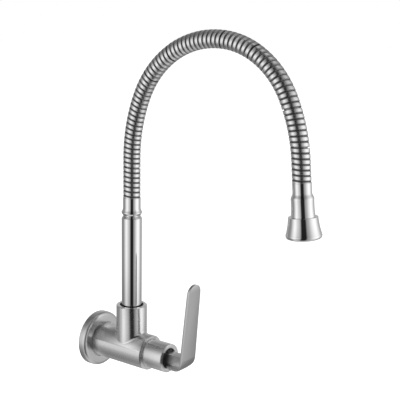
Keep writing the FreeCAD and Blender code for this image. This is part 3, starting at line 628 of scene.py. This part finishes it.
def rounded_heel(place, fade):
    """Points of the heel pushed in, so that its two round surfaces blend.

    With a and b the distances out of the foot's and the heel's cylinder, the
    blend of radius r is where (r+a) squared plus (r+b) squared is r squared.
    The radius is the softness times 1 minus the cosine of the angle between
    the two surfaces, so it vanishes where they run into one another.
    """
    for _ in range(PASSES):
        x, y, z = place.T
        out_of_foot = np.hypot(x, z)
        from_centre = np.stack([np.minimum(y - HEEL_CENTRE[0], 0), z - HEEL_CENTRE[1]])
        out_of_heel = np.hypot(*from_centre)
        foot_way = np.stack([x / out_of_foot, 0 * x, z / out_of_foot], axis=1)
        heel_way = np.stack([0 * x, *(from_centre / out_of_heel)], axis=1)
        cosine = (foot_way * heel_way).sum(axis=1)
        radius = SOFTNESS * (1 - cosine) * fade + 1e-6
        a, b = out_of_foot - FOOT_RADIUS, out_of_heel - HEEL_RADIUS
        u, v = np.maximum(radius + a, 0), np.maximum(radius + b, 0)
        length = np.maximum(np.hypot(u, v), 1e-9)
        outside = np.minimum(np.maximum(a, b), -radius) + length
        way = (u[:, None] * foot_way + v[:, None] * heel_way) / length[:, None]
        step = np.maximum(outside, 0) / np.maximum((way ** 2).sum(axis=1), 1e-9)
        place = place - step[:, None] * way
    return place


place = read(lever.data.vertices, "co", 3) / MILLIMETRE
fade = np.clip((SOFT_BELOW - place[:, 2]) / SOFT_DEPTH, 0, 1) * (place[:, 1] < SOFT_BEHIND)
soft = rounded_heel(place, fade)
moved = np.linalg.norm(soft - place, axis=1)
on_foot = np.hypot(place[:, 0], place[:, 2]) > FOOT_RADIUS - TOUCHING
on_heel = np.hypot(place[:, 1] - HEEL_CENTRE[0], place[:, 2] - HEEL_CENTRE[1]) > HEEL_RADIUS - TOUCHING
on_surface = (on_foot | on_heel) & (fade > 0)
place[on_surface] = soft[on_surface]
lever.data.vertices.foreach_set("co", (place * MILLIMETRE).ravel())
lever.data.shade_smooth()
print("heel pushed in by up to %.2f mm" % moved[on_surface].max())

# %% Break the lever's edges
EDGE_WIDTH = 0.45
EDGE_STEPS = 3
EDGE_ANGLE = math.radians(32)

bevel = lever.modifiers.new("broken_edges", "BEVEL")
bevel.width = EDGE_WIDTH * MILLIMETRE
bevel.segments = EDGE_STEPS
bevel.limit_method = "ANGLE"
bevel.angle_limit = EDGE_ANGLE
bevel.harden_normals = True
bevel.use_clamp_overlap = True
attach(lever, "lever")
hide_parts("lever_handle")

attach(barrel, "valve")
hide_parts("valve_body")
print("lever's edges broken by %.2f mm" % EDGE_WIDTH)

# %% [markdown]
# ## The pipe thread
#
# Behind the flange, a half-inch pipe thread goes into the wall. The copy's
# plain stub is first turned down to the thread's root, and the ridge is then
# wound on it: a profile of root, rounded crest and root, carried along a
# helix and run out to nothing over the last half turn at each end. The whole
# barrel's edges over 28 degrees are marked sharp, so its round forms stay smooth.

# %% Turn the stub down
THREAD_PITCH = 25.4 / 14
THREAD_CREST = 10.4775
THREAD_ROOT = 9.3155
THREAD_START = 0.9
THREAD_TURNS = 7.1
BARREL_SHARP_ANGLE = math.radians(28)
HAIR = 0.05

place = read(barrel.data.vertices, "co", 3)
from_axis = np.hypot(place[:, 0], place[:, 2])
on_stub = (place[:, 1] > -1e-6) & (from_axis > THREAD_ROOT * MILLIMETRE)
on_stub &= from_axis < (THREAD_CREST + HAIR) * MILLIMETRE
shrink = np.where(on_stub, THREAD_ROOT * MILLIMETRE / from_axis, 1.0)
place[:, [0, 2]] *= shrink[:, None]
barrel.data.vertices.foreach_set("co", place.ravel())
barrel.data.set_sharp_from_angle(angle=BARREL_SHARP_ANGLE)
print("points of the stub turned down:", int(on_stub.sum()))

# %% Wind the ridge
# The profile: pitches along the axis, and shares of the ridge's height.
PROFILE_ACROSS = np.array([-0.49, -0.42, -0.12, 0.0, 0.12, 0.42, 0.49])
PROFILE_HEIGHT = np.array([-0.12, 0.0, 0.94, 1.0, 0.94, 0.0, -0.12])
TURN_STEPS = 96
RUN_OUT = 0.5

turn = np.arange(0, THREAD_TURNS, 1 / TURN_STEPS)
fade = np.clip(np.minimum(turn, THREAD_TURNS - turn) / RUN_OUT, 0, 1)[:, None]
height = np.where(PROFILE_HEIGHT > 0, PROFILE_HEIGHT * fade, PROFILE_HEIGHT)
ridge = THREAD_ROOT + (THREAD_CREST - THREAD_ROOT) * height
depth = THREAD_START + THREAD_PITCH * (turn[:, None] + PROFILE_ACROSS)
angle = 2 * np.pi * turn[:, None]
points = np.stack([ridge * np.cos(angle), depth, ridge * np.sin(angle)], axis=-1)
thread = grid_piece("pipe_thread", points * MILLIMETRE, wrap_rows=False)
volume = outward(thread)
print("thread of %.1f turns, %.1f mm3" % (THREAD_TURNS, volume * 1e9))
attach(thread, "valve")

# %% [markdown]
# ## Brush lines
#
# The satin pieces were rubbed with emery cloth while they turned, which leaves
# fine lines round them. Such a surface blurs what it reflects across the
# lines and hardly along them, so a turned barrel keeps crisp bands along its
# length. Drawing every scratch would take millions of faces. The shader can
# do it from one direction, the way across the lines, stored on each corner of
# each face.

# %% Store the way across the lines
BARREL_RADIUS = 17.3


def across_lines(mesh, foot, axis):
    """Direction across lines that run round an axis, for each face corner.

    At a point, the lines run along the axis crossed with the way from the foot
    to the point. Across them, within the surface, is the normal crossed with
    that, scaled to a length of one.
    """
    place = read(mesh.vertices, "co", 3)[read(mesh.loops, "vertex_index", 1, int)[:, 0]]
    along = np.cross(np.array(axis, float), place - np.array(foot) * MILLIMETRE)
    across = np.cross(read(mesh.corner_normals, "vector", 3), along)
    return across / np.maximum(np.linalg.norm(across, axis=1, keepdims=True), 1e-9)


def store_lines(mesh, across):
    """Keep the directions on the mesh, where the shader finds them by name."""
    kept = mesh.attributes.new("across_lines", "FLOAT_VECTOR", "CORNER")
    kept.data.foreach_set("vector", across.astype(np.float32).ravel())


for piece in (flange, collar):
    store_lines(piece.data, across_lines(piece.data, WALL, OUT_OF_WALL))

centre = read(barrel.data.polygons, "center", 3)
on_branch = np.hypot(centre[:, 0], centre[:, 2]) > (BARREL_RADIUS + HAIR) * MILLIMETRE
corners_per_face = read(barrel.data.polygons, "loop_total", 1, int)[:, 0]
branch_corner = np.repeat(on_branch, corners_per_face)[:, None]
store_lines(barrel.data, np.where(branch_corner, across_lines(barrel.data, SOCKET, UPWARDS),
                                  across_lines(barrel.data, WALL, OUT_OF_WALL)))
print("faces on the branch:", int(on_branch.sum()), "of", len(on_branch))

# %% [markdown]
# ## Metals
#
# All the metal is lit by what it reflects, so what sets one finish apart from
# another is how it scatters. Polishing leaves fine lines round a turned
# piece, and blasting leaves a close grain on a cast one. Both could be painted
# from photographs of metal. Noise is enough: stretched for lines, fine for
# grain, and used only for roughness and bump, while the colour stays even.

# %% A node tree in a few lines
def adder(owner):
    """Empty the owner's node tree and give a shorthand that adds a node to it.

    A setting of the node is given by name. An input is given by its name or
    number, as a value or as the output that it is linked to.
    """
    owner.use_nodes = True
    tree = owner.node_tree
    tree.nodes.clear()

    def add(kind, inputs=None, **settings):
        node = tree.nodes.new(kind)
        for setting, value in settings.items():
            setattr(node, setting, value)
        for socket, value in (inputs or {}).items():
            if hasattr(value, "links"):
                tree.links.new(value, node.inputs[socket])
            else:
                node.inputs[socket].default_value = value
        return node

    return add


def shading(name):
    """New material, with the shorthand for its nodes."""
    material = bpy.data.materials.new(name)
    return material, adder(material)


def noise(add, place, scale, detail):
    """Smooth noise of that many waves per metre, in a number of finer layers."""
    return add("ShaderNodeTexNoise", {"Vector": place, "Scale": scale, "Detail": detail}).outputs["Fac"]


def between(add, value, low, high, out_low, out_high):
    """Value carried from the range low..high to out_low..out_high, held at its ends."""
    return add("ShaderNodeMapRange", {"Value": value, "From Min": low, "From Max": high,
                                      "To Min": out_low, "To Max": out_high}).outputs["Result"]


def metal(name, colour, roughness, spread, lines, line_bump, grain, grain_bump, brushed=0.0):
    """Metal whose roughness wanders, with stretched lines and a fine grain.

    The roughness is its middle value plus or minus the spread, following a
    slow noise and the lines. The height for the bump is the line noise times
    line_bump plus the grain noise times grain_bump, in millimetres. Where
    brushed is over 0, reflections are stretched that much across the lines.
    """
    material, add = shading(name)
    place = add("ShaderNodeTexCoord").outputs["Object"]
    stretched = add("ShaderNodeMapping", {"Vector": place, "Scale": lines}).outputs["Vector"]
    line_noise = noise(add, stretched, 1.0, 3.0)
    smear = noise(add, place, 45.0, 2.0)
    grain_noise = noise(add, place, grain, 2.0)
    both = add("ShaderNodeMath", {0: line_noise, 1: smear}, operation="ADD").outputs["Value"]
    rough = between(add, both, 0.7, 1.3, roughness - spread, roughness + spread)
    line_height = add("ShaderNodeMath", {0: line_noise, 1: line_bump},
                      operation="MULTIPLY").outputs["Value"]
    height = add("ShaderNodeMath", {0: grain_noise, 1: grain_bump, 2: line_height},
                 operation="MULTIPLY_ADD").outputs["Value"]
    bump = add("ShaderNodeBump", {"Height": height, "Distance": MILLIMETRE, "Strength": 1.0})
    inputs = {"Base Color": (*colour, 1), "Metallic": 1.0, "Roughness": rough,
              "Normal": bump.outputs["Normal"]}
    if brushed:
        stored = add("ShaderNodeAttribute", attribute_name="across_lines").outputs["Vector"]
        turned = add("ShaderNodeVectorTransform", {"Vector": stored}, vector_type="VECTOR",
                     convert_from="OBJECT", convert_to="WORLD")
        inputs.update({"Anisotropic": brushed, "Tangent": turned.outputs["Vector"]})
    shader = add("ShaderNodeBsdfPrincipled", inputs)
    add("ShaderNodeOutputMaterial", {"Surface": shader.outputs["BSDF"]})
    return material


# %% Mix the metals
SATIN = (0.86, 0.86, 0.86)
# The flange's satin is the turned satin painted darker: painted shade on the flange.
SATIN_SHADED = (0.78, 0.78, 0.78)
SATIN_CAST = (0.61, 0.61, 0.61)
POLISHED = (0.93, 0.93, 0.93)
ROUND_Y = (60, 9000, 60)
ROUND_Z = (60, 60, 9000)

# Name: colour, roughness, spread, lines, line_bump, grain, grain_bump, brushed
METALS = {
    "satin_steel_turned": (SATIN, 0.27, 0.03, ROUND_Y, 0.0006, 5200, 0.0006, 0.75),
    "satin_steel_shaded_flange": (SATIN_SHADED, 0.27, 0.03, ROUND_Y, 0.0006, 5200, 0.0006, 0.75),
    "satin_steel_branch": (SATIN, 0.27, 0.03, ROUND_Z, 0.0006, 5200, 0.0006, 0.75),
    "satin_steel_cast": (SATIN_CAST, 0.31, 0.03, (2500, 2500, 90), 0.0006, 5200, 0.0008),
    "polished_steel_tube": (POLISHED, 0.045, 0.02, (60, 60, 2600), 0.0004, 900, 0.0004),
    "cut_steel_thread": ((0.60, 0.60, 0.59), 0.34, 0.06, (400, 9000, 400), 0.002, 3000, 0.002),
    "machined_brass": ((0.72, 0.53, 0.26), 0.24, 0.06, (400, 5200, 400), 0.002, 2600, 0.001),
    "spring_steel": ((0.42, 0.42, 0.43), 0.30, 0.06, (800, 800, 800), 0.001, 4000, 0.001)}
stuff = {name: metal(name, *values) for name, values in METALS.items()}
print("metals:", list(stuff))

# %% [markdown]
# ## Steel of the hose
#
# The ribs are as bright as the tube. The grooves between them are rough, because no polishing wheel
# gets into them, and grey, which is dirt together with painted shade for the depth of the groove. The
# way off the crest was stored on each point of the winding, so the colour and the roughness follow it.

# %% Ribs bright, grooves rough, with dirt and painted shade
# The grooves' grey is dirt together with painted shade, and it sets in over this range off the crest.
GROOVE_DIRT_AND_SHADE = (0.32, 0.32, 0.32)
GROOVE_ROUGHNESS = 0.38
RIB_ROUGHNESS = (0.23, 0.27)
DULL_AND_SHADE_FROM, DULL_AND_SHADE_TO = 0.46, 0.68


def wound_steel(name):
    """Polished steel that turns rough, and grey with dirt and painted shade, from halfway off the
    crest.
    """
    material, add = shading(name)
    off = add("ShaderNodeAttribute", attribute_name="off_crest").outputs["Fac"]
    place = add("ShaderNodeTexCoord").outputs["Object"]
    smear = noise(add, place, 260.0, 3.0)
    dull_and_shaded = between(add, off, DULL_AND_SHADE_FROM, DULL_AND_SHADE_TO, 0.0, 1.0)
    # Painted shade, with dirt: the colour goes grey towards the groove.
    colour = add("ShaderNodeMix", {0: dull_and_shaded, "A": (*POLISHED, 1), "B": (*GROOVE_DIRT_AND_SHADE, 1)},
                 data_type="RGBA")
    worn = between(add, smear, 0.35, 0.65, *RIB_ROUGHNESS)
    rough = add("ShaderNodeMix", {0: dull_and_shaded, 2: worn, 3: GROOVE_ROUGHNESS},
                data_type="FLOAT").outputs[0]
    fine = add("ShaderNodeBump", {"Height": smear, "Distance": 0.004 * MILLIMETRE, "Strength": 1.0})
    shader = add("ShaderNodeBsdfPrincipled", {
        "Base Color": colour.outputs[2], "Metallic": 1.0, "Roughness": rough,
        "Normal": fine.outputs["Normal"]})
    add("ShaderNodeOutputMaterial", {"Surface": shader.outputs["BSDF"]})
    return material


winding = wound_steel("polished_steel_winding")
print("ribs' steel:", winding.name)

# %% [markdown]
# ## Rubber, ceramic and plastic
#
# The seals, discs and inner hose only show when the tap is taken apart. Each
# still gets the look of its stuff: matt black rubber with a bloom, ground
# ceramic with a cool sheen, and plain moulded plastic.

# %% The stuffs that aren't metal
def moulded(name, colour, shade, roughness, bump_scale, bump, subsurface=0.0):
    """Plain stuff whose colour wanders between colour and shade with a noise."""
    material, add = shading(name)
    place = add("ShaderNodeTexCoord").outputs["Object"]
    slow = noise(add, place, 120.0, 3.0)
    fine = noise(add, place, bump_scale, 2.0)
    tint = add("ShaderNodeMix", {0: slow, "A": (*colour, 1), "B": (*shade, 1)}, data_type="RGBA")
    rough = between(add, slow, 0.3, 0.7, roughness - 0.05, roughness + 0.05)
    height = add("ShaderNodeBump", {"Height": fine, "Distance": bump * MILLIMETRE, "Strength": 1.0})
    shader = add("ShaderNodeBsdfPrincipled", {
        "Base Color": tint.outputs[2], "Roughness": rough, "Normal": height.outputs["Normal"],
        "Subsurface Weight": subsurface, "Subsurface Scale": MILLIMETRE})
    add("ShaderNodeOutputMaterial", {"Surface": shader.outputs["BSDF"]})
    return material


# Name: colour, shade, roughness, bump_scale, bump, subsurface
MOULDED = {
    "seal_rubber": ((0.020, 0.020, 0.021), (0.045, 0.045, 0.048), 0.55, 2400, 0.006),
    "ground_ceramic": ((0.88, 0.87, 0.83), (0.93, 0.92, 0.89), 0.22, 5200, 0.001),
    "white_plastic": ((0.80, 0.80, 0.78), (0.86, 0.86, 0.85), 0.38, 2600, 0.003, 0.1),
    "soft_liner": ((0.70, 0.74, 0.77), (0.80, 0.82, 0.84), 0.30, 900, 0.004, 0.3)}
stuff.update({name: moulded(name, *values) for name, values in MOULDED.items()})
print("others:", list(MOULDED))

# %% Give each piece and each node its material
finishes = [("satin_steel_turned", (collar, barrel)), ("satin_steel_shaded_flange", (flange,)),
            ("satin_steel_cast", (lever,)), ("cut_steel_thread", (thread,)),
            ("polished_steel_tube", (tube, ferrule, neck, bell))]
for name, pieces in finishes:
    for piece in pieces:
        piece.data.materials.clear()
        piece.data.materials.append(stuff[name])
for piece in hose_pieces:
    piece.data.materials.append(winding)
barrel.data.materials.append(stuff["satin_steel_branch"])
barrel.data.polygons.foreach_set("material_index", on_branch.astype(np.int32))

SLOT_STUFF = {"satin_steel": "satin_steel_turned", "polished_steel": "polished_steel_tube",
              "brass": "machined_brass", "ceramic": "ground_ceramic", "rubber": "seal_rubber",
              "white_plastic": "white_plastic", "liner": "soft_liner",
              "spring_steel": "spring_steel"}
for part in frame["record"]["subparts"]:
    mesh = nodes[part["node"]].data
    mesh.materials.clear()
    mesh.materials.append(stuff[SLOT_STUFF[part["material_slot"]]])

# %% [markdown]
# ## A tent of light
#
# Polished steel shows the room it stands in and little else. A product
# photographer hangs a tent of white cloth round the object, lit more from
# the sides, and shoots through a slot, whose dark strip is what draws the
# middle of the tube. The tent here is a sphere that only reflections see. Its
# brightness is one ramp round the horizon times one ramp from floor to
# ceiling. The slot ends low down, where the cloth is even all round. The tent
# stands still, so it is right from any other side as well.

# %% How bright the cloth is
# Degrees from the camera's side, or from the horizon, and the brightness there.
AROUND = [(-180, 0.50), (-134, 0.25), (-112, 0.24), (-98, 0.35), (-84, 0.63), (-68, 0.93),
          (-56, 0.93), (-43, 0.68), (-30, 0.54), (-20, 0.36), (-13, 0.015), (13, 0.015),
          (20, 0.28), (32, 0.42), (44, 0.70), (56, 0.92), (68, 1.04), (80, 0.98), (94, 0.68),
          (110, 0.40), (128, 0.40), (180, 0.50)]
UPDOWN = [(-90, 0.95), (-70, 0.82), (-56, 0.64), (-36, 0.56), (-22, 0.74), (-13, 1.0),
          (12, 1.08), (26, 0.96), (38, 0.68), (50, 0.49), (62, 0.52), (90, 0.70)]
EVEN_LOW = [(-90, 1.0), (-66, 0.9), (-54, 0.15), (-48, 0.0), (90, 0.0)]
EVEN = 0.72


def brightness(around, up):
    """Brightness of the cloth at angles in degrees.

    The share that is even all round grows to 1 towards the floor. The value
    round the horizon is the ramp times what is left, plus the even value times
    the share, and all of that times the ramp from floor to ceiling.
    """
    share = np.interp(up, *zip(*EVEN_LOW))
    level = (1 - share) * np.interp(around, *zip(*AROUND)) + share * EVEN
    return level * np.interp(up, *zip(*UPDOWN))


# %% Sew the tent
TENT_RADIUS = math.dist(CAMERA_PLACE, (0, 0, 0))
TENT_ROWS = 64
TENT_COLUMNS = 128

towards_camera = math.atan2(CAMERA_PLACE[1], CAMERA_PLACE[0])
azimuth = np.linspace(-math.pi, math.pi, TENT_COLUMNS, endpoint=False)
elevation = np.linspace(-math.pi / 2, math.pi / 2, TENT_ROWS + 1)[1:-1]
up, around = np.meshgrid(elevation, azimuth, indexing="ij")
points = TENT_RADIUS * np.stack([np.cos(up) * np.cos(around + towards_camera),
                                 np.cos(up) * np.sin(around + towards_camera), np.sin(up)], axis=-1)
tent = grid_piece("tent", points, wrap_rows=False)
shine = brightness(np.degrees(around), np.degrees(up))
glow = tent.data.attributes.new("glow", "FLOAT", "POINT")
glow.data.foreach_set("value", shine.ravel().astype(np.float32))
cloth, add = shading("tent_cloth")
light = add("ShaderNodeAttribute", attribute_name="glow").outputs["Fac"]
lit = add("ShaderNodeEmission", {"Color": (1.0, 1.0, 1.0, 1), "Strength": light})
add("ShaderNodeOutputMaterial", {"Surface": lit.outputs["Emission"]})
tent.data.materials.append(cloth)
tent.visible_camera = False
tent.visible_diffuse = False
tent.visible_shadow = False
tent.visible_transmission = False
print("tent of radius %.2f m, brightness %.3f to %.3f" % (TENT_RADIUS, shine.min(), shine.max()))

# %% [markdown]
# ## Room, floor and lamp
#
# Behind the object is plain white, which is the world's colour as the camera,
# mirrors and glass see it. A soft lamp from above and the world together
# light whatever isn't metal. The floor is a pale disc, 300 mm below the inlet,
# so the views from above have something for the shadow to fall on.

# %% White room
ROOM_LIGHT = 0.75
ROOM_SEEN = 1.0

world = bpy.data.worlds.new("room")
bpy.context.scene.world = world
add = adder(world)
path = add("ShaderNodeLightPath").outputs
seen = path["Is Camera Ray"]
for ray in ("Is Glossy Ray", "Is Transmission Ray"):
    seen = add("ShaderNodeMath", {0: seen, 1: path[ray]}, operation="MAXIMUM").outputs["Value"]
strength = add("ShaderNodeMapRange", {"Value": seen, "To Min": ROOM_LIGHT, "To Max": ROOM_SEEN})
sky = add("ShaderNodeBackground", {"Color": (1, 1, 1, 1), "Strength": strength.outputs["Result"]})
add("ShaderNodeOutputWorld", {"Surface": sky.outputs["Background"]})
print("room: %.2f as light, %.2f as seen" % (ROOM_LIGHT, ROOM_SEEN))

# %% Floor disc
FLOOR_LEVEL = -300.0
FLOOR_COLOUR = (0.86, 0.86, 0.86)
FLOOR_LIFT = 0.5

floor_outline = [(0.001, 0), (8000, 0), (8000, -20), (0.001, -20)]
floor = lathe("floor", floor_outline, (0, 0, FLOOR_LEVEL), UPWARDS, steps=96)
pale, add = shading("pale_floor")
path = add("ShaderNodeLightPath").outputs["Is Camera Ray"]
matt = add("ShaderNodeBsdfDiffuse", {"Color": (*FLOOR_COLOUR, 1)})
lift = add("ShaderNodeMath", {0: path, 1: FLOOR_LIFT}, operation="MULTIPLY").outputs["Value"]
glow = add("ShaderNodeEmission", {"Strength": lift})
both = add("ShaderNodeAddShader", {0: matt.outputs["BSDF"], 1: glow.outputs["Emission"]})
add("ShaderNodeOutputMaterial", {"Surface": both.outputs["Shader"]})
floor.data.materials.append(pale)
floor.visible_glossy = False

# %% Soft lamp overhead
LAMP_PLACE = (-0.3, -0.5, 1.7)
LAMP_SIZE = 1.6
LAMP_WATTS = 22

lamp_data = bpy.data.lights.new("soft_lamp", "AREA")
lamp_data.shape = "DISK"
lamp_data.size = LAMP_SIZE
lamp_data.energy = LAMP_WATTS
lamp = bpy.data.objects.new("soft_lamp", lamp_data)
bpy.context.scene.collection.objects.link(lamp)
lamp.matrix_world = Matrix.Translation(LAMP_PLACE)
lamp.visible_glossy = False
lamp.visible_camera = False
bpy.context.scene.view_settings.view_transform = "Standard"
print("lamp of %.1f m and %d W" % (LAMP_SIZE, LAMP_WATTS))
